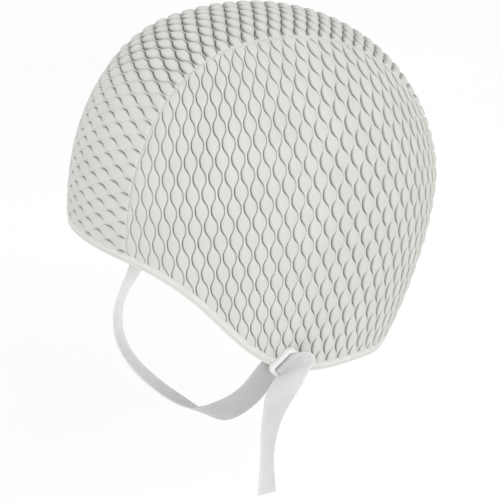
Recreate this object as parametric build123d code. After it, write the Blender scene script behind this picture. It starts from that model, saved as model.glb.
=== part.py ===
"""Highlighting cap: a bubble-textured rubber cap with a centre strip, two side panels,
a smooth hem and a chin strap that runs through a keeper on the left lobe.

Millimetres. +Z is up, the wearer faces -Y, and the wearer's left is +X. The origin is the
middle of the head, on the level where the cap is widest.
"""
import math
import os

from build123d import *

# ---- the cap's outer surface, in its own level frame ------------------------
HALF_WIDTH = 76.0        # over the ears
FRONT_LENGTH = 81.0      # from the widest level to the forehead
BACK_LENGTH = 129.0      # from the widest level to the back of the head
CROWN_HEIGHT = 117.0     # from the widest level to the crown
SIDE_DROP = 187.0        # lower vertical half axes: how slowly each side turns in below
FRONT_DROP = 121.0
BACK_DROP = 133.0
NAPE_POWER = 1.5         # below 2 the nape tucks in more than an ellipse
SHELL_LEVELS = [0.0, -12.0, -28.0, -46.0, -64.0, -80.0]   # sections the lower shell runs through
SHELL_BOTTOM = -96.0     # the untrimmed shell ends below the lobes
PITCH = 8.5              # the worn cap tips forward by this many degrees

# ---- rubber thicknesses, from the outside in --------------------------------
PANEL_DEPTH = 2.4        # wall and raised bubbles together
GLUE_GAP = 0.1           # between the panels and what is bonded inside them
TAPE_DEPTH = 0.8         # seam tapes and lobe patches on the inside
STRAP_DEPTH = 1.2

# ---- seams and hem, in the cap's level frame --------------------------------
# The centre strip's half width narrows evenly from front to back between these two places,
# which both lie beyond the cap: (y, half width).
STRIP_FRONT = (-140.0, 32.0)
STRIP_BACK = (180.0, 26.0)
TAPE_WIDTH = 10.0
HEM_WIDTH = 5.0
# The hem seen from the side: (y, z) from the forehead, down over the ear and up to the nape.
HEM_PROFILE = [
    (-80.0, 21.5), (-72.0, 17.5), (-62.0, 9.0), (-50.0, -7.0), (-25.0, -43.0), (-6.0, -55.5),
    (19.0, -64.0), (37.0, -69.5), (55.0, -75.0), (77.0, -64.5), (96.0, -48.0), (122.0, -25.0),
]

# ---- keeper on the left lobe, in the worn frame -----------------------------
KEEPER_CENTRE = Vector(72.5, -7.0, -48.0)
KEEPER_LONG = Vector(0.23, 0.66, 0.70)      # along the window
KEEPER_OUT = Vector(0.972, -0.19, -0.138)   # away from the head
WINDOW = (12.0, 7.0)
KEEPER_BAR = 2.6
KEEPER_DEPTH = 2.6
WINDOW_CORNER = 1.5
KEEPER_CORNER = 3.6
KEEPER_ROOT = 1.0        # the ring's block starts this far inside the lobe's surface
SLOT_ALLOWANCE = 0.6     # the lobe's slot is this much larger than the window all round
PATCH_SIZE = (44.0, 34.0)
PATCH_CENTRE = (-12.0, -36.0)
PATCH_TILT = -30.0
PATCH_CORNER = 10.0

# ---- strap, in the worn frame -----------------------------------------------
STRAP_WIDTH = 14.5
KEEPER_GRIP_WIDTH = 10.8   # the keeper gathers the strap to this width
KEEPER_END_WIDTH = 13.4    # and it spreads again to this on each side of the ring
# Stations along the strap: centre, then the direction across its width.
STRAP_ROUTE = [
    ((-70.2, -5.6, -21.7), (-0.10, 0.99, -0.01)),
    ((-68.9, -9.2, -33.5), (-0.17, 0.98, -0.02)),
    ((-66.4, -13.0, -46.0), (-0.22, 0.96, -0.12)),
    ((-70.0, -24.0, -66.0), (-0.60, 0.67, -0.43)),
    ((-60.5, -30.0, -84.0), (-0.44, 0.70, -0.56)),
    ((-40.5, -30.0, -94.5), (-0.17, 0.86, -0.48)),
    ((-18.0, -29.0, -97.0), (-0.02, 0.92, -0.39)),
    ((4.0, -28.5, -96.0), (0.00, 0.92, -0.38)),
    ((26.5, -27.5, -92.5), (0.17, 0.82, -0.55)),
    ((46.0, -26.0, -82.0), (0.33, 0.69, -0.65)),
    ((60.0, -19.5, -67.0), (0.20, 0.80, -0.57)),
    ((66.0, -13.0, -52.0), (0.00, 0.93, -0.36)),
]
KEEPER_ROUTE = [
    ((65.8, -10.0, -47.6), (0.10, 0.88, 0.34)),
    ((69.0, -7.6, -47.4), (0.20, 0.72, 0.62)),
    ((73.0, -7.0, -47.9), (0.23, 0.66, 0.70)),
    ((77.0, -6.8, -48.2), (0.25, 0.70, 0.65)),
    ((80.5, -8.5, -49.5), (0.28, 0.78, 0.50)),
]
TAIL_ROUTE = [
    ((82.2, -10.0, -51.0), (0.30, 0.86, 0.30)),
    ((84.0, -15.5, -57.0), (0.28, 0.92, -0.15)),
    ((82.5, -19.5, -67.0), (0.00, 0.99, -0.10)),
    ((81.0, -21.5, -78.5), (-0.32, 0.93, -0.15)),
    ((81.2, -23.0, -90.5), (-0.49, 0.86, -0.11)),
    ((82.0, -24.0, -102.0), (-0.46, 0.87, -0.12)),
    ((84.0, -25.0, -113.0), (-0.28, 0.92, -0.25)),
]
CHIN_PIVOT = Vector(0.0, -17.0, -57.0)      # a side-to-side line through both lobes' strap ends
PIVOT_REACH = STRAP_WIDTH / 2               # the swinging strap's ends are rounded about it
PIVOT_GAP = 1.6
PIVOT_SLANT = -22.0                         # the strap crosses the swing line at this slant
GRIP_CUT_REACH = 68.3                       # the keeper's strap is cut back as far out as this

# ---- blocks that trim the shapes --------------------------------------------
CLEAR = 180.0            # beyond the cap in every direction
ABOVE = 160.0            # above the crown
SLOT_DEPTH = 12.0        # the slot's prism reaches this far in and out of the lobe
WINDOW_DEPTH = 20.0


def half_axes(z):
    """Half width, front length and back length of the level section at height z."""
    if z >= 0.0:
        shrink = math.sqrt(1.0 - (z / CROWN_HEIGHT) ** 2)
        return HALF_WIDTH * shrink, FRONT_LENGTH * shrink, BACK_LENGTH * shrink
    side = math.sqrt(1.0 - (z / SIDE_DROP) ** 2)
    front = math.sqrt(1.0 - (z / FRONT_DROP) ** 2)
    back = (1.0 - (-z / BACK_DROP) ** NAPE_POWER) ** (1.0 / NAPE_POWER)
    return HALF_WIDTH * side, FRONT_LENGTH * front, BACK_LENGTH * back


def level_section(z, inset):
    """Closed outline at height z, moved in by inset: a front and a back half ellipse."""
    width, front, back = (axis - inset for axis in half_axes(z))
    plane = Plane.XY.offset(z)
    rear = Edge.make_ellipse(width, back, plane, 0, 180)
    fore = Edge.make_ellipse(width, front, plane, 180, 360)
    return Wire([rear, fore])


def head_form(inset, extra_drop=0.0):
    """The solid inside the cap's outer surface, moved in by inset."""
    levels = SHELL_LEVELS + [SHELL_BOTTOM - extra_drop]
    body = Part() + Solid.make_loft([level_section(z, inset) for z in levels])
    for length, side in ((FRONT_LENGTH, -1), (BACK_LENGTH, 1)):
        ball = Sphere(1.0) & Pos(0, side, 1) * Box(4, 2, 2)   # its upper quarter on that side
        body += scale(ball, by=(HALF_WIDTH - inset, length - inset, CROWN_HEIGHT - inset))
    return body


def layer(outer_inset, inner_inset):
    """One thin skin between two depths."""
    return head_form(outer_inset) - head_form(inner_inset, extra_drop=2.0)


def side_profile(shift):
    """Everything above the hem line, which is moved up by shift, as a block across the cap."""
    edge = Edge.make_spline([Vector(0, y, z + shift) for y, z in HEM_PROFILE])
    start = edge.position_at(0)
    end = edge.position_at(1)
    corners = [(0, CLEAR, end.Z), (0, CLEAR, ABOVE), (0, -CLEAR, ABOVE), (0, -CLEAR, start.Z)]
    rim = Polyline(end, *corners, start)
    return extrude(make_face([edge] + rim.edges()), amount=CLEAR, dir=(1, 0, 0), both=True)


def strip_block(widen=0.0):
    """A tapering block over the centre strip, from front to back."""
    (front_y, front), (back_y, back) = STRIP_FRONT, STRIP_BACK
    front += widen
    back += widen
    corners = [(front, front_y), (back, back_y), (-back, back_y), (-front, front_y)]
    return extrude(make_face(Polyline(*corners, close=True)), amount=CLEAR, both=True)


def worn(shape):
    """Tip a shape from the cap's own level frame to the worn frame."""
    return Rot(PITCH, 0, 0) * shape


def keeper_plane(depth=0.0):
    """The keeper's plane, moved out by depth."""
    out = KEEPER_OUT.normalized()
    across = KEEPER_LONG - out * KEEPER_LONG.dot(out)
    return Plane(origin=KEEPER_CENTRE + out * depth, x_dir=across, z_dir=out)


def window_prism(growth, depth):
    """A prism through the keeper's window, grown all round, reaching depth in and out."""
    length, height = (side + 2 * growth for side in WINDOW)
    outline = RectangleRounded(length, height, WINDOW_CORNER + growth)
    return extrude(keeper_plane() * outline, amount=depth, both=True)


def ribbon(route, width_at, depth, count):
    """A strip of rubber along a route of stations, each with its direction across the width."""
    steps = [i / (len(route) - 1) for i in range(len(route))]
    path = Edge.make_spline([Vector(*place) for place, _ in route], parameters=steps)
    turn = Edge.make_spline([Vector(*across) for _, across in route], parameters=steps)
    sections = []
    for i in range(count):
        u = i / (count - 1)
        centre = path.position_at(u)
        along = path.tangent_at(u)
        across = turn.position_at(u)
        across = (across - along * across.dot(along)).normalized() * (width_at(u) / 2)
        out = along.cross(across).normalized() * (depth / 2)
        corners = [centre + across + out, centre - across + out, centre - across - out,
                   centre + across - out]
        sections.append(Wire.make_polygon(corners))
    return Part() + Solid.make_loft(sections)


def pivot_cylinder(radius):
    """A side-to-side cylinder about the chin strap's swing line."""
    return Pos(CHIN_PIVOT) * Rot(0, 90, 0) * Cylinder(radius, 2 * CLEAR)


def below_pivot():
    """Everything below the swing line, on the strap's own slant."""
    block = Pos(0, 0, -CLEAR) * Box(2 * CLEAR, 2 * CLEAR, 2 * CLEAR)
    return Pos(CHIN_PIVOT) * Rot(PIVOT_SLANT, 0, 0) * block


def fold_roll(route, width):
    """The round edge along a strap's first end, about the line that it folds on."""
    place, across = route[0]
    start = Plane(origin=Vector(*place), z_dir=Vector(*across))
    return start * Cylinder(STRAP_DEPTH / 2, width)


def largest(shape):
    """The largest solid of a shape, without any crumbs that trimming leaves."""
    return max(shape.solids(), key=lambda solid: solid.volume)


def patch_block():
    """A side-to-side block with the lobe patch's outline."""
    outline = Rot(0, 0, PATCH_TILT) * RectangleRounded(*PATCH_SIZE, PATCH_CORNER)
    return extrude(Plane.YZ * Pos(*PATCH_CENTRE) * outline, amount=CLEAR, both=True)


def make_cap():
    """Panels, hem, seam tapes and lobe patches."""
    above_hem = side_profile(0.0)
    above_band = side_profile(HEM_WIDTH)
    slot = window_prism(SLOT_ALLOWANCE, SLOT_DEPTH)
    skin = layer(0.0, PANEL_DEPTH)
    lining = layer(PANEL_DEPTH + GLUE_GAP, PANEL_DEPTH + GLUE_GAP + TAPE_DEPTH)
    crown = skin & above_band
    strip = strip_block()
    parts = {
        "centre_panel": worn(crown & strip),
        "hem_binding": worn((skin & above_hem) - above_band) - slot,
    }
    seam_zone = strip_block(TAPE_WIDTH / 2) - strip_block(-TAPE_WIDTH / 2)
    lining_above = lining & above_band
    for name, side in (("left", 1), ("right", -1)):
        half = Pos(side * CLEAR, 0, 0) * Box(2 * CLEAR, 2 * CLEAR, 2 * CLEAR)
        panel = worn((crown - strip) & half)
        tape = worn(lining_above & seam_zone & half)
        patch = worn(lining & above_hem & patch_block() & half)
        if side > 0:
            panel -= slot
            patch -= slot
        parts[name + "_side_panel"] = panel
        parts[name + "_seam_tape"] = tape
        parts[name + "_lobe_patch"] = patch
    return parts


def make_keeper():
    """The ring that the strap runs through, cut to sit on the lobe."""
    length, height = (side + 2 * KEEPER_BAR for side in WINDOW)
    outer = RectangleRounded(length, height, KEEPER_CORNER)
    ring = extrude(keeper_plane(-KEEPER_ROOT) * outer, amount=KEEPER_DEPTH + KEEPER_ROOT)
    ring -= window_prism(0.0, WINDOW_DEPTH)
    return ring - worn(head_form(0.0))


def full_width(_):
    """The strap's width where nothing gathers it."""
    return STRAP_WIDTH


def make_strap():
    """The bonded end, the swinging loop, the stretch in the keeper and the hanging tail."""
    whole = ribbon(STRAP_ROUTE, full_width, STRAP_DEPTH, 40)
    swinging = whole & (below_pivot() + pivot_cylinder(PIVOT_REACH))
    fixed = whole - below_pivot() - pivot_cylinder(PIVOT_REACH + PIVOT_GAP)
    fixed = fixed & Pos(-CLEAR, 0, 0) * Box(2 * CLEAR, 2 * CLEAR, 2 * CLEAR)
    fixed = fixed & worn(head_form(PANEL_DEPTH + TAPE_DEPTH + 2 * GLUE_GAP))

    def gathered(u):
        return KEEPER_GRIP_WIDTH + (KEEPER_END_WIDTH - KEEPER_GRIP_WIDTH) * abs(2 * u - 1) ** 6

    grip = ribbon(KEEPER_ROUTE, gathered, STRAP_DEPTH, 17)
    grip -= Pos(CHIN_PIVOT) * Rot(0, 90, 0) * Cylinder(PIVOT_REACH + PIVOT_GAP, 2 * GRIP_CUT_REACH)
    tail = ribbon(TAIL_ROUTE, full_width, STRAP_DEPTH, 19)
    return {
        "strap_fixed_end": fixed,
        "chin_strap": swinging,
        "strap_in_keeper": grip,
        "strap_tail": tail + fold_roll(TAIL_ROUTE, STRAP_WIDTH),
    }


def main():
    """Write every piece to its own file."""
    os.makedirs("parts", exist_ok=True)
    pieces = make_cap()
    pieces["strap_keeper"] = make_keeper()
    pieces.update(make_strap())
    for name, shape in pieces.items():
        solid = largest(shape)
        print(name, len(shape.solids()), "solids, the largest", round(solid.volume, 1), "mm3")
        export_step(Part() + solid, f"parts/{name}.step")


main()
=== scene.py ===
import math

import bmesh
import bpy
import numpy as np
from mathutils import Matrix, Vector


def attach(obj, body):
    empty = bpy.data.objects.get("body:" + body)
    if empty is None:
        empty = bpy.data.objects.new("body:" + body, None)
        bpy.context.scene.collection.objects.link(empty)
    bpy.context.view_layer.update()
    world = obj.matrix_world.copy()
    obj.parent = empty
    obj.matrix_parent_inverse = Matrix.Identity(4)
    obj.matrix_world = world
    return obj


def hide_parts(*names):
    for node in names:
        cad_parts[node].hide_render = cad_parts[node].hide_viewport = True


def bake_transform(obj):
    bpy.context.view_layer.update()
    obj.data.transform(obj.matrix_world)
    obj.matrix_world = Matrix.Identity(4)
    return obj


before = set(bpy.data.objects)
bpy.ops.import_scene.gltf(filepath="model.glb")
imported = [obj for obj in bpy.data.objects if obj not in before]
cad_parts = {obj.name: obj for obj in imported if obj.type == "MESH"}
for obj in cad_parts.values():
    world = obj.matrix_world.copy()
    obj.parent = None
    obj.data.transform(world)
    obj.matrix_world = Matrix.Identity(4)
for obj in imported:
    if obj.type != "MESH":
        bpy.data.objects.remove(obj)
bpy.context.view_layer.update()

MM = 0.001

# ---- the cap's outer surface, in its own level frame (mm) --------------------
HALF_WIDTH = 76.0       # over the ears, on the widest level
FRONT_LENGTH = 81.0     # on that level, from the middle to the forehead
BACK_LENGTH = 129.0     # and from the middle to the back of the head
CROWN_HEIGHT = 117.0    # from the widest level to the crown
SIDE_DROP = 187.0       # lower vertical half axes: how slowly each side turns in below
FRONT_DROP = 121.0
BACK_DROP = 133.0
NAPE_POWER = 1.5        # below 2 the nape tucks in more than an ellipse
PITCH = math.radians(8.5)
# The centre strip's half width narrows evenly between these places: (y, half width).
STRIP_FRONT = (-140.0, 32.0)
STRIP_BACK = (180.0, 26.0)
# The hem seen from the side: (y, z) from the forehead, down over the ear and up to the nape.
HEM_PROFILE = [
    (-80.0, 21.5), (-72.0, 17.5), (-62.0, 9.0), (-50.0, -7.0), (-25.0, -43.0), (-6.0, -55.5),
    (19.0, -64.0), (37.0, -69.5), (55.0, -75.0), (77.0, -64.5), (96.0, -48.0), (122.0, -25.0),
]

# ---- bubbles ----------------------------------------------------------------
WALL = 2.4              # wall and raised bubbles together
CREASE_DEPTH = 2.1      # the deepest creases lie this far below the cap's outer surface
SWAY = 0.35             # crease lines swing this share of a column to each side
SQUARE = 0.08           # third harmonic that makes the swing's ends straighter
ACROSS = 9              # mesh steps across one column
ALONG = 8               # mesh steps along one row
NEUTRAL = 0.2           # painted tone of a bubble's top, between a neck's painted highlight and a crease's painted shade
PAINTED_SHADE_FROM = 0.25         # a crease's painted shade starts from this share of its full depth
PAINTED_SHADE_OVER = 0.6          # and the painted shade is darkest this much deeper
SEAM_GAP = 0.05         # each panel stops this far from the seam's line
SEAM_FLAT = 1.3         # bubbles fade out over this distance from a seam
SEAM_LEVEL = -0.45      # height of the flat edge beside a seam
SEAM_GROOVE = 0.35      # the joint itself is this much deeper
GROOVE_WIDTH = 0.45     # on each side of the seam
SEAM_TONE = 0.5 * NEUTRAL

# A bubble's relief: how far its top stands above the cap's surface, how much lower the necks
# between bubbles in a column lie, the share of its depth that a crease loses away from its
# deepest place, how far the top leans forwards, where along the crease it is deepest, how short
# that place is, the bubble's flatness (2 is round), how dark the crease's painted shade is, over
# what share of the half width, and how bright the necks' painted highlight is (below zero, painted
# shade).
RELIEF = ("rise", "neck", "shallow", "lean", "phase", "short", "flatness", "ink", "spread",
          "pale")
STRETCHED = np.array([0.1, 0.45, 0.40, 0.10, 0.15, 2.0, 3.0, 0.68, 0.22, 1.0])
SLACK = np.array([0.4, 1.20, 0.72, 0.34, 0.10, 0.9, 2.7, 0.92, 0.20, 0.6])
FOREHEAD = np.array([0.3, 0.90, 1.00, -0.08, 0.77, 2.4, 2.9, 0.90, 0.27, 0.0])
CROWN = np.array([0.7, 1.50, 0.55, 0.16, 0.36, 1.2, 2.5, 1.00, 0.34, -1.6])

# A side panel's relief goes from stretched to slack between these columns. Below LOBE_ROW each
# row counts as LOBE_SLACK columns more. The strip's goes from forehead to crown.
SIDE_SLACK = (-12.0, 10.0)
LOBE_ROW = -2.0
LOBE_SLACK = 1.6
STRIP_SLACK = (-17.0, -4.0)

# ---- bubble lattices ---------------------------------------------------------
SIDE_COLUMNS = (-27, 31)
SIDE_ROWS = (-13.0, 17.0)
STRIP_COLUMNS = (-42, 62)
STRIP_ROWS = (-7.0, 4.25)
# Side panels, counted in tens of columns back and fives of rows up (mm).
SIDE_ORIGIN = (12.5, -1.8)      # arc lengths back and up of the place numbered (0, 0)
TEN_COLUMNS = 35.8              # ten columns of slack rubber
STRETCH = 14.8                  # added to each side of the place where it is stretched most
STRETCH_AT = 0.8                # that place, in tens of columns
COLUMN_LEAN = 2.1               # columns lean back by this in five rows
COLUMN_FAN = (5.6, 2.6)         # they fan out upwards by the first, less and less by the second
FIVE_ROWS = 40.6
ROW_DROOP = (3.5, 3.0)          # rows sink backwards, evenly and then ever faster
ROW_SPREAD = (0.5, 0.3)         # and rise by these as both numbers grow
# The centre strip, measured along its middle line from the crown and across it (mm).
STRIP_START = -4.0      # about where column 0 lies
STRIP_COLUMN = 3.82     # one column near the crown
STRIP_BEHIND = (1.0, 0.17)      # columns are wider by twice the second behind the first
STRIP_AHEAD = (-13.0, 0.1)      # and in front of this one
RAMP_SOFTNESS = 3.0             # the change takes about this many columns on each side
STRIP_ROW = 7.35        # one row, between forehead and crown
STRIP_ROW_CHANGE = 1.0  # rows are this much wider on the forehead and narrower behind
STRIP_CHANGE_AT = -28.0
STRIP_CHANGE_OVER = 25.0
STRIP_EDGE = 28.0       # row 3 lies this far from the middle, along the left seam
STRIP_SLANT = 0.12      # columns slant forward by this share of their distance from that seam

# ---- hem ---------------------------------------------------------------------
HEM_BAND = 4.7          # width, measured square to the hem's edge
PANEL_TUCK = 0.7        # the panels run this far under the hem band
HEM_STATIONS = 720
# The band's outline: (up from the edge, out from the cap's surface).
HEM_SECTION = [
    (0.35, -2.25), (0.10, -1.9), (0.0, -1.2), (0.03, -0.6), (0.2, -0.15), (0.5, 0.06),
    (0.85, 0.08), (1.1, -0.05), (1.22, -0.3), (1.36, -0.42), (1.5, -0.3), (1.65, -0.08),
    (2.0, 0.0), (2.8, 0.02), (3.6, 0.0), (4.2, -0.04), (4.5, -0.18), (4.66, -0.5),
    (4.7, -1.0), (4.7, -2.2), (4.5, -2.45), (2.5, -2.45), (0.7, -2.4)]

# ---- patches inside the lobes, laid out seen from the side: (y, z) in the cap's frame -------
GLUE_GAP = 0.1
TAPE_DEPTH = 0.8
PATCH_SIZE = (44.0, 34.0)
PATCH_CENTRE = (-12.0, -36.0)
PATCH_TILT = -30.0
PATCH_CORNER = 10.0
PATCH_HEM_GAP = 2.0     # the patches end this far above the hem's edge
PATCH_REACH = ((-42.0, 16.1), (-62.0, 0.1))     # the grid that a patch is cut from
PATCH_STEP = 0.75

# ---- keeper, in the worn frame ----------------------------------------------
KEEPER_CENTRE = np.array([72.5, -7.0, -48.0])
KEEPER_LONG = np.array([0.23, 0.66, 0.70])      # along the window
KEEPER_OUT = np.array([0.972, -0.19, -0.138])   # away from the head
WINDOW = (12.0, 7.0)
KEEPER_BAR = 2.6
KEEPER_DEPTH = 2.6
KEEPER_ROOT = 1.2       # the ring starts this far in from its centre's level
KEEPER_CORNER = 2.4     # the ring's corners, along the middle of its bar
KEEPER_EDGE = 1.0       # the bar's own rounding
SLOT_ALLOWANCE = 0.6    # the lobe's slot is this much larger than the window all round
SLOT_DEPTH = 12.0       # it is cut only where the lobe is this near the keeper

# ---- strap, in the worn frame -------------------------------------------------
STRAP_DEPTH = 1.2
STRAP_WIDTH = 14.5
STRAP_EDGE = 0.5        # rounding of its edges
LOOP_STATIONS = 220
TAIL_STATIONS = 200
# Stations along the strap: centre, direction across it, width.
LOOP_ROUTE = [
    ((-70.2, -5.6, -21.7), (-0.10, 0.99, -0.01), STRAP_WIDTH),
    ((-68.9, -9.2, -33.5), (-0.17, 0.98, -0.02), STRAP_WIDTH),
    ((-65.7, -15.5, -46.5), (-0.40, 0.87, -0.28), STRAP_WIDTH),
    ((-68.6, -24.5, -66.0), (-0.60, 0.67, -0.43), STRAP_WIDTH),
    ((-60.5, -30.0, -84.0), (-0.44, 0.70, -0.56), STRAP_WIDTH),
    ((-40.5, -30.0, -94.5), (-0.17, 0.86, -0.48), STRAP_WIDTH),
    ((-18.0, -29.0, -97.0), (-0.02, 0.92, -0.39), STRAP_WIDTH),
    ((4.0, -28.5, -96.0), (0.00, 0.92, -0.38), STRAP_WIDTH),
    ((26.5, -27.5, -92.5), (0.17, 0.82, -0.55), STRAP_WIDTH),
    ((46.0, -26.0, -82.0), (0.33, 0.69, -0.65), STRAP_WIDTH),
    ((59.5, -19.0, -67.5), (0.20, 0.80, -0.57), 14.0),
    ((64.5, -12.5, -55.0), (0.20, 0.81, -0.55), 13.0),
    ((67.0, -8.5, -48.0), (0.22, 0.80, -0.30), 12.0),
]
# The strap's fold over the keeper: left and right edges, each along the window, across it
# and out from the keeper's centre.
FOLD_EDGES = [
    ((-5.8, 2.0, -6.0), (5.6, 2.0, -6.0)),
    ((-5.8, 2.0, -2.0), (5.6, 2.2, -2.0)),
    ((-5.8, 2.2, 1.0), (5.6, 2.6, 1.0)),
    ((-5.6, 1.6, 3.0), (7.2, 2.6, 3.6)),
    ((-5.8, 0.0, 3.7), (11.0, 1.0, 5.0)),
    ((-6.6, 0.0, 4.1), (13.2, -1.2, 6.6)),
    ((-8.6, 1.2, 4.8), (13.0, -4.4, 8.4)),
    ((-11.8, 2.4, 6.4), (8.2, -5.8, 10.0)),
    ((-16.4, 2.6, 9.0), (0.4, -7.2, 11.6)),
]
TAIL_ROUTE = [
    ((82.5, -19.5, -67.0), (0.00, 0.99, -0.10), STRAP_WIDTH),
    ((81.0, -21.5, -78.5), (-0.32, 0.93, -0.15), STRAP_WIDTH),
    ((81.2, -23.0, -90.5), (-0.49, 0.86, -0.11), STRAP_WIDTH),
    ((82.0, -24.0, -102.0), (-0.46, 0.87, -0.12), STRAP_WIDTH),
    ((84.0, -25.0, -113.0), (-0.28, 0.92, -0.25), STRAP_WIDTH),
]

# ---- tables of arc length over the surface, and their reach (mm) ---------------
TABLE_HEIGHTS = (-114.0, 115.1)
TABLE_ARCS = (-170.0, 230.1)
TABLE_Y = (-112.0, 152.0)
TABLE_TOP = 112.0
EDGE_ON = 3.0           # sections are read only where they are this far from the middle
BELOW_FOREHEAD = -30.0
BELOW_NAPE = -70.0

# ---- stage, in metres -----------------------------------------------------------
FLOOR_HEIGHT = -0.36
FLOOR_REACH = 30.0
WORLD_STRENGTH = 1.02
KEY_PLACE = (1.75, -0.40, 1.10)
KEY_SIZE = 1.0
KEY_POWER = 9.0
CAMERA_AZIMUTH = math.radians(58.3)
CAMERA_ELEVATION = math.radians(23.5)
CAMERA_DISTANCE = 1.010
FOCAL = 138.3
SHIFT = (0.056, -0.053)


# =============================================================================
# Surface
# =============================================================================
def half_axes(z):
    """Half width, front length and back length of the level sections at heights z."""
    upper = np.sqrt(np.clip(1.0 - (z / CROWN_HEIGHT) ** 2, 1e-9, None))
    drop = np.clip(-z, 0.0, None)
    side = np.sqrt(np.clip(1.0 - (drop / SIDE_DROP) ** 2, 1e-9, None))
    front = np.sqrt(np.clip(1.0 - (drop / FRONT_DROP) ** 2, 1e-9, None))
    back = np.clip(1.0 - (drop / BACK_DROP) ** NAPE_POWER, 1e-9, None) ** (1.0 / NAPE_POWER)
    above = z >= 0.0
    return (HALF_WIDTH * np.where(above, upper, side), FRONT_LENGTH * np.where(above, upper, front),
            BACK_LENGTH * np.where(above, upper, back))


def level(points):
    """Below zero inside the cap's outer surface, zero on it."""
    width, front, back = half_axes(points[..., 2])
    length = np.where(points[..., 1] < 0.0, front, back)
    return (points[..., 0] / width) ** 2 + (points[..., 1] / length) ** 2 - 1.0


def normals(points):
    """Outward unit normals of the surface, in the cap's frame."""
    step = 0.05
    slopes = [level(points + step * axis) - level(points - step * axis) for axis in np.eye(3)]
    slopes = np.stack(slopes, -1)
    return slopes / np.linalg.norm(slopes, axis=-1, keepdims=True)


def to_worn(points):
    """From the cap's level frame to the worn frame."""
    c, s = math.cos(PITCH), math.sin(PITCH)
    x, y, z = points[..., 0], points[..., 1], points[..., 2]
    return np.stack([x, c * y - s * z, s * y + c * z], -1)


def to_cap(points):
    """From the worn frame to the cap's level frame."""
    c, s = math.cos(PITCH), math.sin(PITCH)
    x, y, z = points[..., 0], points[..., 1], points[..., 2]
    return np.stack([x, c * y + s * z, -s * y + c * z], -1)


def spline(knots, count):
    """count points on a natural cubic through the knots, spaced evenly between chords."""
    knots = np.asarray(knots, float)
    t = np.r_[0.0, np.cumsum(np.linalg.norm(np.diff(knots[:, :3], axis=0), axis=1))]
    gaps = np.diff(t)
    n = len(t)
    system = np.eye(n)
    right = np.zeros_like(knots)
    for i in range(1, n - 1):
        system[i, i - 1:i + 2] = gaps[i - 1], 2.0 * (gaps[i - 1] + gaps[i]), gaps[i]
        right[i] = 6.0 * ((knots[i + 1] - knots[i]) / gaps[i]
                          - (knots[i] - knots[i - 1]) / gaps[i - 1])
    bend = np.linalg.solve(system, right)
    at = np.linspace(0.0, t[-1], count)
    k = np.clip(np.searchsorted(t, at, side="right") - 1, 0, n - 2)
    gap = gaps[k][:, None]
    left, rest = (at - t[k])[:, None], (t[k + 1] - at)[:, None]
    return ((bend[k] * rest ** 3 + bend[k + 1] * left ** 3) / (6.0 * gap)
            + (knots[k] / gap - bend[k] * gap / 6.0) * rest
            + (knots[k + 1] / gap - bend[k + 1] * gap / 6.0) * left)


HEM_LINE = spline([(y, z, 0.0) for y, z in HEM_PROFILE], 600)[:, :2]


def hem_height(y):
    """Height of the hem at each y, in the cap's frame."""
    return np.interp(y, HEM_LINE[:, 0], HEM_LINE[:, 1])


def above_hem(points):
    """Distance above the hem's edge, measured square to it along the surface."""
    y = points[..., 1]
    step = 1.0
    slope = (hem_height(y + step) - hem_height(y - step)) / (2.0 * step)
    climb = np.stack([0.0 * y, -slope, 1.0 + 0.0 * y], -1)
    out = normals(points)
    climb = climb - out * np.sum(climb * out, -1, keepdims=True)
    return (points[..., 2] - hem_height(y)) / np.linalg.norm(climb, axis=-1)


def seam_offset(y):
    """Half width of the centre strip at each y."""
    (front_y, front), (back_y, back) = STRIP_FRONT, STRIP_BACK
    return front + (back - front) * (y - front_y) / (back_y - front_y)


# =============================================================================
# Bubble lattice. Columns are numbered a and rows b; a bubble sits at every whole (a, b)
# whose sum is even.
# =============================================================================
def stretched_side(a, b):
    """Where a side panel's lattice point lies: arc length back from the ear, and arc height.

    The rubber is stretched most over the widest part, behind the ear, and gathers towards the
    lobe, so columns fan and rows droop to both sides.
    """
    column, row = a / 10.0, b / 5.0
    start_back, start_up = SIDE_ORIGIN
    fan, fan_loss = COLUMN_FAN
    droop, droop_gain = ROW_DROOP
    with_columns, with_rows = ROW_SPREAD
    back = (start_back + TEN_COLUMNS * column + STRETCH * np.tanh(column - STRETCH_AT)
            + COLUMN_LEAN * row + column * row * (fan - fan_loss * row))
    up = (start_up + FIVE_ROWS * row - droop * column - droop_gain * column ** 2
          + column * row * (with_columns * column + with_rows * row))
    return back, up


def arc_tables():
    """y on level sections of the worn cap against arc length from its side, and arc height."""
    heights = np.arange(*TABLE_HEIGHTS, 1.0)
    arcs = np.arange(*TABLE_ARCS, 1.0)
    y = np.linspace(*TABLE_Y, 1057)
    table = np.empty((len(heights), len(arcs)))
    for i, height in enumerate(heights):
        flat = to_cap(np.stack([0.0 * y, y, 0.0 * y + height], -1))
        width, front, back = half_axes(flat[:, 2])
        length = np.where(flat[:, 1] < 0.0, front, back)
        inside = 1.0 - (flat[:, 1] / length) ** 2
        x = width * np.sqrt(np.clip(inside, 0.0, None))
        good = x > EDGE_ON
        run = np.r_[0.0, np.cumsum(np.hypot(np.diff(x[good]), np.diff(y[good])))]
        run -= np.interp(0.0, y[good], run)
        table[i] = np.interp(arcs, run, y[good])
    z = np.linspace(0.0, TABLE_TOP, 600)
    slope = HALF_WIDTH * z / CROWN_HEIGHT ** 2 / np.sqrt(1.0 - (z / CROWN_HEIGHT) ** 2)
    step = np.sqrt(1.0 + ((slope[1:] + slope[:-1]) / 2.0) ** 2) * np.diff(z)
    return heights, arcs, table, z, np.r_[0.0, np.cumsum(step)]


HEIGHTS, ARCS, SECTION_Y, CLIMB_Z, CLIMB = arc_tables()


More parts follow.
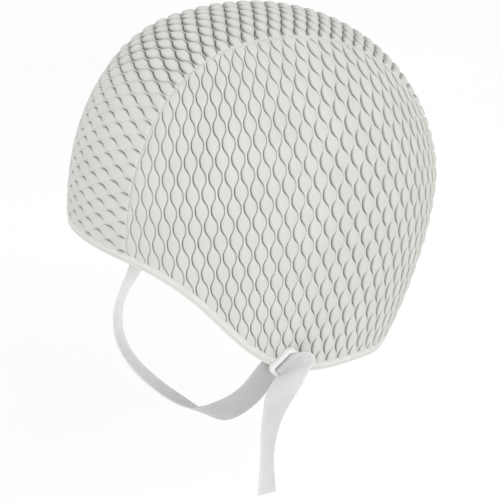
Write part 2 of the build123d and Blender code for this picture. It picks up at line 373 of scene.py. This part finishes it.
def side_point(back, up):
    """Point on the left side of the surface, in the cap's frame."""
    z = np.where(up > 0.0, np.interp(up, CLIMB, CLIMB_Z), up)
    row = np.clip(z - HEIGHTS[0], 0.0, len(HEIGHTS) - 1.001)
    col = np.clip(back - ARCS[0], 0.0, len(ARCS) - 1.001)
    i, j = row.astype(int), col.astype(int)
    p, q = row - i, col - j
    y = ((SECTION_Y[i, j] * (1 - p) + SECTION_Y[i + 1, j] * p) * (1 - q)
         + (SECTION_Y[i, j + 1] * (1 - p) + SECTION_Y[i + 1, j + 1] * p) * q)
    flat = to_cap(np.stack([0.0 * y, y, z], -1))
    width, front, rear = half_axes(flat[..., 2])
    length = np.where(flat[..., 1] < 0.0, front, rear)
    flat[..., 0] = width * np.sqrt(np.clip(1.0 - (flat[..., 1] / length) ** 2, 0.0, None))
    return flat


def crown_line():
    """The cap's middle line from below the forehead hem to below the nape hem, with arc length."""
    angle = np.linspace(0.0, 1.0, 1200)
    z_front = np.linspace(BELOW_FOREHEAD, 0.0, 200)[:-1]
    z_back = np.linspace(0.0, BELOW_NAPE, 300)[1:]
    front = half_axes(z_front)[1]
    back = half_axes(z_back)[2]
    turn = angle * math.pi
    length = np.where(turn < math.pi / 2, FRONT_LENGTH, BACK_LENGTH)
    y = np.r_[-front, -length * np.cos(turn), back]
    z = np.r_[z_front, CROWN_HEIGHT * np.sin(turn), z_back]
    run = np.r_[0.0, np.cumsum(np.hypot(np.diff(y), np.diff(z)))]
    run -= run[np.argmax(z)]
    return y, z, run


MIDDLE_Y, MIDDLE_Z, MIDDLE_RUN = crown_line()


def ramp(t):
    """Near zero for low t, rising twice as fast as t for high t."""
    return t + np.sqrt(t * t + RAMP_SOFTNESS ** 2)


def stretched_strip(a, b):
    """Arc lengths along and across the strip of its lattice point."""
    (behind, wider_behind), (ahead, wider_ahead) = STRIP_BEHIND, STRIP_AHEAD
    run = (STRIP_COLUMN * a + wider_behind * ramp(a - behind) - wider_ahead * ramp(ahead - a)
           + STRIP_START)
    row = STRIP_ROW - STRIP_ROW_CHANGE * np.tanh((run - STRIP_CHANGE_AT) / STRIP_CHANGE_OVER)
    across = STRIP_EDGE + row * (b - 3.0)
    return run + STRIP_SLANT * (across - STRIP_EDGE), across


def strip_point(a, b):
    """Point on the surface at lattice place (a, b) of the centre strip, in the cap's frame."""
    run, across = stretched_strip(a, b)
    y0 = np.interp(run, MIDDLE_RUN, MIDDLE_Y)
    z0 = np.interp(run, MIDDLE_RUN, MIDDLE_Z)
    reach = np.hypot(y0, z0)
    x = across * (1.0 - (across * reach) ** 2 / (6.0 * HALF_WIDTH ** 4))
    x = np.clip(x, -60.0, 60.0)
    shrink = np.sqrt(1.0 - (x / HALF_WIDTH) ** 2)
    width, front, back = half_axes(z0)
    length = np.where(y0 < 0.0, front, back)
    y_low = np.sign(y0) * length * np.sqrt(np.clip(1.0 - (x / width) ** 2, 0.0, None))
    high = z0 >= 0.0
    return np.stack([x, np.where(high, y0 * shrink, y_low), np.where(high, z0 * shrink, z0)], -1)


def fade(value, start, end):
    """Smooth step from 0 at start to 1 at end."""
    t = np.clip((value - start) / (end - start), 0.0, 1.0)
    return t * t * (3.0 - 2.0 * t)


def side_relief(a, b):
    """Bubbles are stretched smooth over the temple and stand up slack behind the ear and on
    the lobe."""
    slack = fade(a + LOBE_SLACK * np.clip(LOBE_ROW - b, 0.0, None), *SIDE_SLACK)
    return dict(zip(RELIEF, (STRETCHED + slack[:, None] * (SLACK - STRETCHED)).T))


def strip_relief(a, b):
    """The strip's bubbles are lower on the forehead than on the crown."""
    slack = fade(np.full_like(b, a), *STRIP_SLACK)
    return dict(zip(RELIEF, (FOREHEAD + slack[:, None] * (CROWN - FOREHEAD)).T))


def lattice_grid(columns, rows, relief):
    """Lattice places of a mesh whose lines follow the wavy creases, with height and a painted light
    tone.

    Returns a, b, height above the cap's surface, and a painted light tone: NEUTRAL on a bubble, 1
    for the painted shade down in the deepest crease, and on the necks a painted highlight down to 0
    where the necks' highlight setting is 1, or painted shade above NEUTRAL where it is below zero.
    """
    first, last = columns
    low, high = rows
    b = np.linspace(low, high, int(round((high - low) * ALONG)) + 1)
    part = np.sin(np.linspace(-1.0, 1.0, ACROSS + 1) * math.pi / 2.0)
    lines = []
    for k in range(first, last):
        turn = math.pi * (b - k)
        swing = SWAY * (np.cos(turn) - SQUARE * np.cos(3.0 * turn)) / (1.0 - SQUARE)
        fullness = (1.0 + np.cos(turn)) / 2.0
        for share in part[:-1]:
            shape = relief(k + share / 2.0, b)
            near = (1.0 - share * np.cos(turn + math.pi * shape["phase"])) / 2.0
            hollow = 1.0 - shape["shallow"] * (1.0 - near ** shape["short"])
            lines.append((k + (0.5 + swing) * share, b,
                          bubble_height(share, fullness, hollow, shape),
                          painted_light_tone(share, fullness, hollow, shape)))
    return [np.array(field) for field in zip(*lines)]


def bubble_height(across, fullness, hollow, shape):
    """Height above the cap's surface; across runs from -1 at one crease to 1 at the next."""
    leaning = across + shape["lean"] * (1.0 - across ** 2)
    dome = np.sqrt(np.clip(1.0 - np.abs(leaning) ** shape["flatness"], 0.0, None))
    top = shape["rise"] - shape["neck"] * (1.0 - fullness)
    floor = -CREASE_DEPTH * hollow
    return floor + (top - floor) * dome


def painted_light_tone(across, fullness, hollow, shape):
    """Painted shade down in the deep creases, and a painted highlight or painted shade on the
    necks.
    """
    line = np.clip(1.0 - (1.0 - abs(across)) / shape["spread"], 0.0, 1.0)
    # painted shade down in the crease
    ink = line * shape["ink"] * np.clip((hollow - PAINTED_SHADE_FROM) / PAINTED_SHADE_OVER, 0.0, 1.0)
    # painted highlight on the necks, or painted shade where that setting is below zero
    neck = shape["pale"] * (1.0 - line) * (1.0 - fullness) ** 2
    return NEUTRAL * (1.0 - neck) * (1.0 - ink) + ink


# =============================================================================
# Meshes
# =============================================================================
def new_object(name, points, faces, material, smooth_angle=40.0):
    """A mesh object from points in mm in the worn frame, smooth but for its sharp edges."""
    mesh = bpy.data.meshes.new(name)
    mesh.from_pydata((np.asarray(points) * MM).tolist(), [], faces)
    mesh.validate()
    mesh.shade_smooth()
    mesh.set_sharp_from_angle(angle=math.radians(smooth_angle))
    mesh.materials.append(material)
    obj = bpy.data.objects.new(name, mesh)
    bpy.context.scene.collection.objects.link(obj)
    return obj


SLIVER = 0.03    # a cut keeps this share of a mesh step clear of the grid's own points


def cut_sheet(outer, inner, margin, shade):
    """A sheet and its inner copy from two grids of points, kept where margin is above zero.

    Returns the outer points, the inner points, a shade for each outer point and the faces.
    """
    inside = margin > 0.0
    order = np.full(margin.shape, -1)
    order[inside] = np.arange(inside.sum())
    tops = list(outer[inside])
    bottoms = list(inner[inside])
    tone = list(shade[inside])
    cuts = {}

    def crossing(kept, lost):
        key = (kept, lost)
        if key not in cuts:
            t = margin[kept] / (margin[kept] - margin[lost])
            t = min(max(t, SLIVER), 1.0 - SLIVER)
            cuts[key] = len(tops)
            tops.append(outer[kept] * (1 - t) + outer[lost] * t)
            bottoms.append(inner[kept] * (1 - t) + inner[lost] * t)
            tone.append(shade[kept] * (1 - t) + shade[lost] * t)
        return cuts[key]

    counts = (inside[:-1, :-1].astype(int) + inside[1:, :-1] + inside[1:, 1:] + inside[:-1, 1:])
    faces = []
    for i, j in zip(*np.nonzero(counts)):
        corners = [(i, j), (i + 1, j), (i + 1, j + 1), (i, j + 1)]
        if counts[i, j] == 4:
            faces.append([int(order[c]) for c in corners])
            continue
        loop = []
        for c, d in zip(corners, corners[1:] + corners[:1]):
            if inside[c]:
                loop.append(int(order[c]))
            if inside[c] and not inside[d]:
                loop.append(crossing(c, d))
            elif inside[d] and not inside[c]:
                loop.append(crossing(d, c))
        faces.append(loop)
    return tops, bottoms, tone, faces


def close_sheet(tops, bottoms, faces):
    """Joins a sheet to its inner copy along its open edges."""
    edges = dict.fromkeys(edge for face in faces for edge in zip(face, face[1:] + face[:1]))
    shift = len(tops)
    closed = list(faces)
    closed += [[v + shift for v in reversed(face)] for face in faces]
    closed += [[q, p, p + shift, q + shift] for p, q in edges if (q, p) not in edges]
    return np.array(tops + bottoms), closed


def bubble_panel(name, place, relief, columns, rows, margins, mirror, material):
    """One bubbled panel: place maps the lattice to the surface, margins trim it."""
    a, b, height, tone = lattice_grid(columns, rows, relief)
    points = place(a, b)
    out = normals(points)
    margin = margins(points)
    beside = seam_distance(points)
    flat = 1.0 - fade(beside, 0.25 * SEAM_FLAT, SEAM_FLAT)
    height = height + (SEAM_LEVEL - height) * flat
    height = height - SEAM_GROOVE * (1.0 - fade(beside, 0.0, GROOVE_WIDTH))
    tone = tone + (SEAM_TONE - tone) * flat
    outer = to_worn(points + out * height[..., None])
    inner = to_worn(points - out * WALL)
    tops, bottoms, tones, faces = cut_sheet(outer, inner, margin, tone)
    points, faces = close_sheet(tops, bottoms, faces)
    if mirror:
        points = points * np.array([-1.0, 1.0, 1.0])
        faces = [face[::-1] for face in faces]
    obj = new_object(name, points, faces, material)
    paint = obj.data.attributes.new("crease", "FLOAT", "POINT")
    plain = np.full(len(bottoms), NEUTRAL)
    paint.data.foreach_set("value", np.r_[tones, plain].astype(np.float32))
    return obj


def seam_distance(points):
    """Distance from the nearer panel seam."""
    return np.abs(np.abs(points[..., 0]) - seam_offset(points[..., 1])) - SEAM_GAP


def side_margins(points):
    """Distance inside the side panel's outline."""
    seam = points[..., 0] - seam_offset(points[..., 1]) - SEAM_GAP
    return np.minimum(seam, above_hem(points) - HEM_BAND + PANEL_TUCK)


def strip_margins(points):
    """Distance inside the centre strip's outline."""
    seam = seam_offset(points[..., 1]) - np.abs(points[..., 0]) - SEAM_GAP
    return np.minimum(seam, above_hem(points) - HEM_BAND + PANEL_TUCK)


# =============================================================================
# Keeper, patches and strap
# =============================================================================
def unit(vector):
    """The vector at length one."""
    return vector / np.linalg.norm(vector)


def keeper_axes():
    """Along the window, across it, and away from the head."""
    out = unit(KEEPER_OUT)
    along = unit(KEEPER_LONG - out * KEEPER_LONG.dot(out))
    return along, np.cross(out, along), out


def slot_margin(points):
    """Distance outside the strap's slot in the left lobe, for points in the worn frame."""
    along, across, out = keeper_axes()
    away = points - KEEPER_CENTRE
    p = np.abs(away @ along) - WINDOW[0] / 2.0 - SLOT_ALLOWANCE
    q = np.abs(away @ across) - WINDOW[1] / 2.0 - SLOT_ALLOWANCE
    return np.where(np.abs(away @ out) < SLOT_DEPTH, np.maximum(p, q), np.inf)


def left_margins(points):
    """The left panel's outline, with the strap's slot."""
    return np.minimum(side_margins(points), slot_margin(to_worn(points)))


def patch_margins(points):
    """Distance inside a lobe patch's rounded, tilted outline, kept clear of the hem's edge."""
    turn = math.radians(PATCH_TILT)
    y, z = points[..., 1] - PATCH_CENTRE[0], points[..., 2] - PATCH_CENTRE[1]
    p = np.abs(y * math.cos(turn) + z * math.sin(turn)) - PATCH_SIZE[0] / 2.0 + PATCH_CORNER
    q = np.abs(z * math.cos(turn) - y * math.sin(turn)) - PATCH_SIZE[1] / 2.0 + PATCH_CORNER
    beyond = np.hypot(np.clip(p, 0.0, None), np.clip(q, 0.0, None))
    outline = PATCH_CORNER - beyond - np.minimum(np.maximum(p, q), 0.0)
    return np.minimum(outline, above_hem(points) - PATCH_HEM_GAP)


def make_patch(name, mirror, material):
    """The patch bonded inside a lobe; the left one has the strap's slot in it."""
    y, z = np.meshgrid(*[np.arange(*reach, PATCH_STEP) for reach in PATCH_REACH], indexing="ij")
    width, front, back = half_axes(z)
    x = width * np.sqrt(1.0 - (y / np.where(y < 0.0, front, back)) ** 2)
    points = np.stack([x, y, z], -1)
    out = normals(points)
    outer = to_worn(points - out * (WALL + GLUE_GAP))
    inner = to_worn(points - out * (WALL + GLUE_GAP + TAPE_DEPTH))
    margin = patch_margins(points)
    if not mirror:
        margin = np.minimum(margin, slot_margin(to_worn(points)))
    tops, bottoms, _, faces = cut_sheet(outer, inner, margin, 0.0 * x)
    points, faces = close_sheet(tops, bottoms, faces)
    if mirror:
        points = points * np.array([-1.0, 1.0, 1.0])
    obj = new_object(name, points, faces, material)
    fix_outward(obj)
    return obj


def sweep(path, ups, sides, section, closed):
    """Points and faces of a section carried along a path.

    section holds (side, up) points in mm, or one such outline for each place on the path.
    """
    n, m = len(path), len(section[0]) if section.ndim == 3 else len(section)
    rings = []
    for i in range(n):
        shape = section[i] if section.ndim == 3 else section
        rings.append(path[i] + shape[:, :1] * sides[i] + shape[:, 1:2] * ups[i])
    points = np.concatenate(rings)
    faces = []
    for i in range(n if closed else n - 1):
        k = (i + 1) % n
        for j in range(m):
            after = (j + 1) % m
            faces.append([i * m + j, i * m + after, k * m + after, k * m + j])
    if not closed:
        faces.append(list(range(m - 1, -1, -1)))
        faces.append(list(range((n - 1) * m, n * m)))
    return points, faces


def rounded_section(width, depth, radius, steps=4):
    """A rounded rectangle centred on zero, as (side, up) points."""
    points = []
    for corner, (sx, sy) in enumerate(((1, 1), (-1, 1), (-1, -1), (1, -1))):
        for step in range(steps + 1):
            turn = (corner + step / steps) * math.pi / 2.0
            points.append((sx * (width / 2.0 - radius) + radius * math.cos(turn),
                           sy * (depth / 2.0 - radius) + radius * math.sin(turn)))
    return np.array(points)


def make_keeper(material):
    """The ring that the strap runs through."""
    along, across, out = keeper_axes()
    loop = rounded_section(WINDOW[0] + KEEPER_BAR, WINDOW[1] + KEEPER_BAR, KEEPER_CORNER, steps=8)
    dense = []
    for p, q in zip(loop, np.roll(loop, -1, axis=0)):
        pieces = 6 if np.linalg.norm(q - p) > 2.0 else 1
        dense += [p + (q - p) * k / pieces for k in range(pieces)]
    loop = np.array(dense)
    ahead = np.roll(loop, -1, axis=0) - np.roll(loop, 1, axis=0)
    ahead /= np.linalg.norm(ahead, axis=1, keepdims=True)
    centre = KEEPER_CENTRE + out * (KEEPER_DEPTH - KEEPER_ROOT) / 2.0
    path = centre + loop[:, :1] * along + loop[:, 1:2] * across
    sides = ahead[:, 1:2] * along - ahead[:, :1] * across
    ups = np.repeat(out[None], len(path), 0)
    section = rounded_section(KEEPER_BAR, KEEPER_DEPTH + KEEPER_ROOT, KEEPER_EDGE)
    points, faces = sweep(path, ups, sides, section, True)
    return new_object("keeper_ring", points, faces, material)


def edge_pairs(route):
    """Left and right edges of stations given as centre, direction across and width."""
    pairs = []
    for place, across, width in route:
        half = unit(np.array(across)) * width / 2.0
        pairs.append((np.array(place) - half, np.array(place) + half))
    return pairs


def fold_pairs():
    """The fold's edges in the worn frame."""
    axes = np.array(keeper_axes())
    return [(KEEPER_CENTRE + np.array(left) @ axes, KEEPER_CENTRE + np.array(right) @ axes)
            for left, right in FOLD_EDGES]


def ribbon(name, pairs, count, material):
    """A rubber strap along pairs of edge points, with rounded edges."""
    run = spline([(*((left + right) / 2.0), *left, *right) for left, right in pairs], count)
    path, across = run[:, :3], run[:, 6:9] - run[:, 3:6]
    width = np.linalg.norm(across, axis=1)
    across /= width[:, None]
    out = np.cross(np.gradient(path, axis=0), across)
    out /= np.linalg.norm(out, axis=1, keepdims=True)
    sections = np.stack([rounded_section(w, STRAP_DEPTH, STRAP_EDGE) for w in width])
    points, faces = sweep(path, out, across, sections, False)
    return new_object(name, points, faces, material, smooth_angle=60.0)


# =============================================================================
# Hem
# =============================================================================
def hem_loop(count):
    """Evenly spaced points round the hem's edge with their outward normals and upward ways."""
    turn = np.linspace(0.0, 2.0 * math.pi, 4001)[:-1]
    z = np.full_like(turn, -20.0)
    for _ in range(60):     # the height settles on the hem's at each place
        width, front, back = half_axes(z)
        y = -np.where(np.cos(turn) > 0.0, front, back) * np.cos(turn)
        z = z + 0.5 * (hem_height(y) - z)
    x = width * np.sin(turn)
    loop = np.stack([x, y, hem_height(y)], -1)
    run = np.r_[0.0, np.cumsum(np.linalg.norm(np.roll(loop, -1, 0) - loop, axis=1))]
    closed = np.vstack([loop, loop[:1]])
    at = np.linspace(0.0, run[-1], count + 1)[:-1]
    loop = np.stack([np.interp(at, run, closed[:, i]) for i in range(3)], -1)
    out = normals(loop)
    ahead = np.roll(loop, -1, 0) - np.roll(loop, 1, 0)
    ahead /= np.linalg.norm(ahead, axis=1, keepdims=True)
    up = np.cross(out, ahead)
    up /= np.linalg.norm(up, axis=1, keepdims=True)
    up = up * np.sign(up[:, 2:3])
    return loop, out, up


def make_hem(material):
    """The smooth band round the whole opening, with a fine bead at its edge."""
    loop, out, up = hem_loop(HEM_STATIONS)
    section = np.array(HEM_SECTION)
    points, faces = sweep(to_worn(loop), to_worn(out), to_worn(up), section, True)
    obj = new_object("hem_band", points, faces, material, smooth_angle=50.0)
    fix_outward(obj)
    return obj


def fix_outward(obj):
    """Turns every face outwards."""
    shell = bmesh.new()
    shell.from_mesh(obj.data)
    bmesh.ops.recalc_face_normals(shell, faces=shell.faces)
    shell.to_mesh(obj.data)
    shell.free()


# =============================================================================
# Materials
# =============================================================================
GLOW_DEPTH = (0.003, 0.003, 0.003)      # metres that light travels inside milky rubber
SKIN_DEPTH = 0.0001
STRAP_SPAN = (-0.065, 0.085)            # x of its bonded end and of its free end, in metres, between which the strap's painted light and shade change


def link(tree, source, target):
    """Joins one node's output to another's input."""
    tree.links.new(source, target)


def base_material(name, roughness, specular, subsurface=0.0):
    """A Principled material with constant values on the shader's own sockets."""
    material = bpy.data.materials.new(name)
    material.use_nodes = True
    tree = material.node_tree
    shader = tree.nodes["Principled BSDF"]
    shader.inputs["Roughness"].default_value = roughness
    shader.inputs["Specular IOR Level"].default_value = specular
    shader.inputs["Subsurface Weight"].default_value = subsurface
    shader.inputs["Subsurface Radius"].default_value = GLOW_DEPTH
    shader.inputs["Subsurface Scale"].default_value = 1.0
    return material, tree, shader


def blend_tones(tree, source, stops):
    """A colour read between stops, each a position from 0 to 1 and a colour."""
    node = tree.nodes.new("ShaderNodeValToRGB")
    first, *middle, last = stops
    for stop, (position, colour) in zip(node.color_ramp.elements, (first, last)):
        stop.position = position
        stop.color = (*colour, 1.0)
    for position, colour in middle:
        stop = node.color_ramp.elements.new(position)
        stop.color = (*colour, 1.0)
    link(tree, source, node.inputs["Fac"])
    return node.outputs["Color"]


def multiply(tree, first, second):
    """The product of two colours."""
    mix = tree.nodes.new("ShaderNodeMix")
    mix.data_type = "RGBA"
    mix.blend_type = "MULTIPLY"
    mix.inputs["Factor"].default_value = 1.0
    link(tree, first, mix.inputs["A"])
    link(tree, second, mix.inputs["B"])
    return mix.outputs["Result"]


def cloud(tree, scale, detail):
    """Soft noise fixed to the object."""
    place = tree.nodes.new("ShaderNodeTexCoord")
    noise = tree.nodes.new("ShaderNodeTexNoise")
    noise.inputs["Scale"].default_value = scale
    noise.inputs["Detail"].default_value = detail
    link(tree, place.outputs["Object"], noise.inputs["Vector"])
    return noise.outputs["Fac"]


def mottle(tree, scale, low, high):
    """Colour that drifts gently between two tones."""
    return blend_tones(tree, cloud(tree, scale, 4.0), [(0.35, low), (0.65, high)])


def fine_bump(tree, shader, scale, strength):
    """A faint skin of moulding texture."""
    bump = tree.nodes.new("ShaderNodeBump")
    bump.inputs["Strength"].default_value = strength
    bump.inputs["Distance"].default_value = SKIN_DEPTH
    link(tree, cloud(tree, scale, 3.0), bump.inputs["Height"])
    link(tree, bump.outputs["Normal"], shader.inputs["Normal"])


def bubble_rubber():
    """Warm white latex, with painted shade down in the creases and a painted highlight on stretched
    necks.
    """
    material, tree, shader = base_material("bubble_rubber", roughness=0.5, specular=0.35)
    colour = mottle(tree, 60.0, (0.640, 0.632, 0.600), (0.668, 0.660, 0.627))
    crease = tree.nodes.new("ShaderNodeAttribute")
    crease.attribute_name = "crease"
    # the crease attribute's tone: painted highlight up to white, painted shade down to dark grey
    tone = blend_tones(tree, crease.outputs["Fac"], [
        (0.0, (1.0, 1.0, 1.0)), (NEUTRAL, (0.93, 0.93, 0.93)), (1.0, (0.25, 0.25, 0.24))])
    link(tree, multiply(tree, colour, tone), shader.inputs["Base Color"])
    fine_bump(tree, shader, 900.0, 0.15)
    return material


def plain_rubber(name, low, high, roughness, specular):
    """Smooth rubber with faint cloudiness."""
    material, tree, shader = base_material(name, roughness, specular)
    link(tree, mottle(tree, 80.0, low, high), shader.inputs["Base Color"])
    fine_bump(tree, shader, 700.0, 0.1)
    return material


def strap_rubber():
    """Thin milky rubber, with painted light palest at its bonded end and painted shade greyest
    below the left lobe.
    """
    material, tree, shader = base_material("strap_rubber", roughness=0.42, specular=0.4,
                                           subsurface=0.8)
    colour = mottle(tree, 80.0, (0.778, 0.783, 0.776), (0.818, 0.823, 0.816))
    # painted light and shade along the strap's length, from its bonded end to its free end
    place = tree.nodes.new("ShaderNodeTexCoord")
    parts = tree.nodes.new("ShaderNodeSeparateXYZ")
    span = tree.nodes.new("ShaderNodeMapRange")
    bonded_end, free_end = STRAP_SPAN
    span.inputs["From Min"].default_value = bonded_end
    span.inputs["From Max"].default_value = free_end
    link(tree, place.outputs["Object"], parts.inputs["Vector"])
    link(tree, parts.outputs["X"], span.inputs["Value"])
    tone = blend_tones(tree, span.outputs["Result"], [
        (0.0, (1.0, 1.0, 1.0)), (0.45, (0.70, 0.707, 0.70)), (0.66, (0.56, 0.5656, 0.56)),
        (0.82, (0.60, 0.606, 0.60)), (1.0, (0.725, 0.725, 0.725))])
    link(tree, multiply(tree, colour, tone), shader.inputs["Base Color"])
    fine_bump(tree, shader, 700.0, 0.1)
    return material


# =============================================================================
# Scene
# =============================================================================
def build_object():
    """Every visible piece; the cap's pieces are put on the cap's body, the strap's are baked in
    place.
    """
    skin = bubble_rubber()
    band = plain_rubber("hem_rubber", (0.66, 0.65, 0.62), (0.69, 0.68, 0.65), 0.42, 0.4)
    tape = plain_rubber("tape_rubber", (0.68, 0.67, 0.63), (0.74, 0.73, 0.69), 0.6, 0.3)
    white = plain_rubber("keeper_plastic", (0.75, 0.75, 0.745), (0.78, 0.78, 0.775), 0.4, 0.4)
    strap = strap_rubber()

    def side_place(a, b):
        return side_point(*stretched_side(a, b))

    left = bubble_panel("bubbles_left", side_place, side_relief, SIDE_COLUMNS, SIDE_ROWS,
                        left_margins, False, skin)
    right = bubble_panel("bubbles_right", side_place, side_relief, SIDE_COLUMNS, SIDE_ROWS,
                         side_margins, True, skin)
    strip = bubble_panel("bubbles_centre", strip_point, strip_relief, STRIP_COLUMNS, STRIP_ROWS,
                         strip_margins, False, skin)
    for obj, node in ((left, "left_side_panel"), (right, "right_side_panel"),
                      (strip, "centre_panel")):
        fix_outward(obj)
        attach(obj, "cap")
        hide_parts(node)

    hem = make_hem(band)
    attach(hem, "cap")
    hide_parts("hem_binding")

    ring = make_keeper(white)
    fix_outward(ring)
    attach(ring, "cap")
    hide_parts("strap_keeper")

    loop = ribbon("strap_loop", edge_pairs(LOOP_ROUTE), LOOP_STATIONS, strap)
    fix_outward(loop)
    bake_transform(loop)
    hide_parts("strap_fixed_end", "chin_strap")

    over_keeper = fold_pairs() + edge_pairs(TAIL_ROUTE)
    tail = ribbon("strap_through_keeper", over_keeper, TAIL_STATIONS, strap)
    fix_outward(tail)
    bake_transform(tail)
    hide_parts("strap_in_keeper", "strap_tail")

    for side, mirror in (("left", False), ("right", True)):
        patch = make_patch("patch_" + side, mirror, tape)
        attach(patch, "cap")
        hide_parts(side + "_lobe_patch")

    for node in ("left_seam_tape", "right_seam_tape"):
        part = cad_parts[node]
        part.data.materials.clear()
        part.data.materials.append(tape)


def add_floor():
    """A wide pale floor well below the hanging cap."""
    material, tree, shader = base_material("floor_paper", roughness=0.9, specular=0.1)
    colour = mottle(tree, 3.0, (0.93, 0.93, 0.93), (0.95, 0.95, 0.95))
    link(tree, colour, shader.inputs["Base Color"])
    mesh = bpy.data.meshes.new("floor")
    reach, height = FLOOR_REACH, FLOOR_HEIGHT
    mesh.from_pydata([(-reach, -reach, height), (reach, -reach, height), (reach, reach, height),
                      (-reach, reach, height)], [], [(0, 1, 2, 3)])
    mesh.materials.append(material)
    floor = bpy.data.objects.new("floor", mesh)
    bpy.context.scene.collection.objects.link(floor)


def add_area(name, place, aim, size, power):
    """A square soft light."""
    data = bpy.data.lights.new(name, "AREA")
    data.shape = "SQUARE"
    data.size = size
    data.energy = power
    lamp = bpy.data.objects.new(name, data)
    lamp.location = place
    way = Vector(aim) - Vector(place)
    lamp.rotation_euler = way.to_track_quat("-Z", "Y").to_euler()
    bpy.context.scene.collection.objects.link(lamp)


def add_light():
    """Bright even surroundings and one large soft light near the camera."""
    world = bpy.data.worlds.new("studio")
    world.use_nodes = True
    sky = world.node_tree.nodes["Background"]
    sky.inputs["Color"].default_value = (1.0, 1.0, 1.0, 1.0)
    sky.inputs["Strength"].default_value = WORLD_STRENGTH
    bpy.context.scene.world = world
    add_area("key", KEY_PLACE, (0.0, 0.0, 0.0), KEY_SIZE, KEY_POWER)
    bpy.context.scene.view_settings.view_transform = "Standard"


def add_camera():
    """Camera at the left front, a little above."""
    az, el = CAMERA_AZIMUTH, CAMERA_ELEVATION
    back = Vector((math.sin(az) * math.cos(el), -math.cos(az) * math.cos(el), math.sin(el)))
    right = Vector((math.cos(az), math.sin(az), 0.0))
    up = back.cross(right)
    data = bpy.data.cameras.new("camera")
    data.lens = FOCAL
    data.sensor_width = 36.0
    data.shift_x, data.shift_y = SHIFT
    camera = bpy.data.objects.new("camera", data)
    turn = Matrix((right, up, back)).transposed().to_4x4()
    camera.matrix_world = Matrix.Translation(back * CAMERA_DISTANCE) @ turn
    bpy.context.scene.collection.objects.link(camera)
    bpy.context.scene.camera = camera


build_object()
add_floor()
add_light()
add_camera()
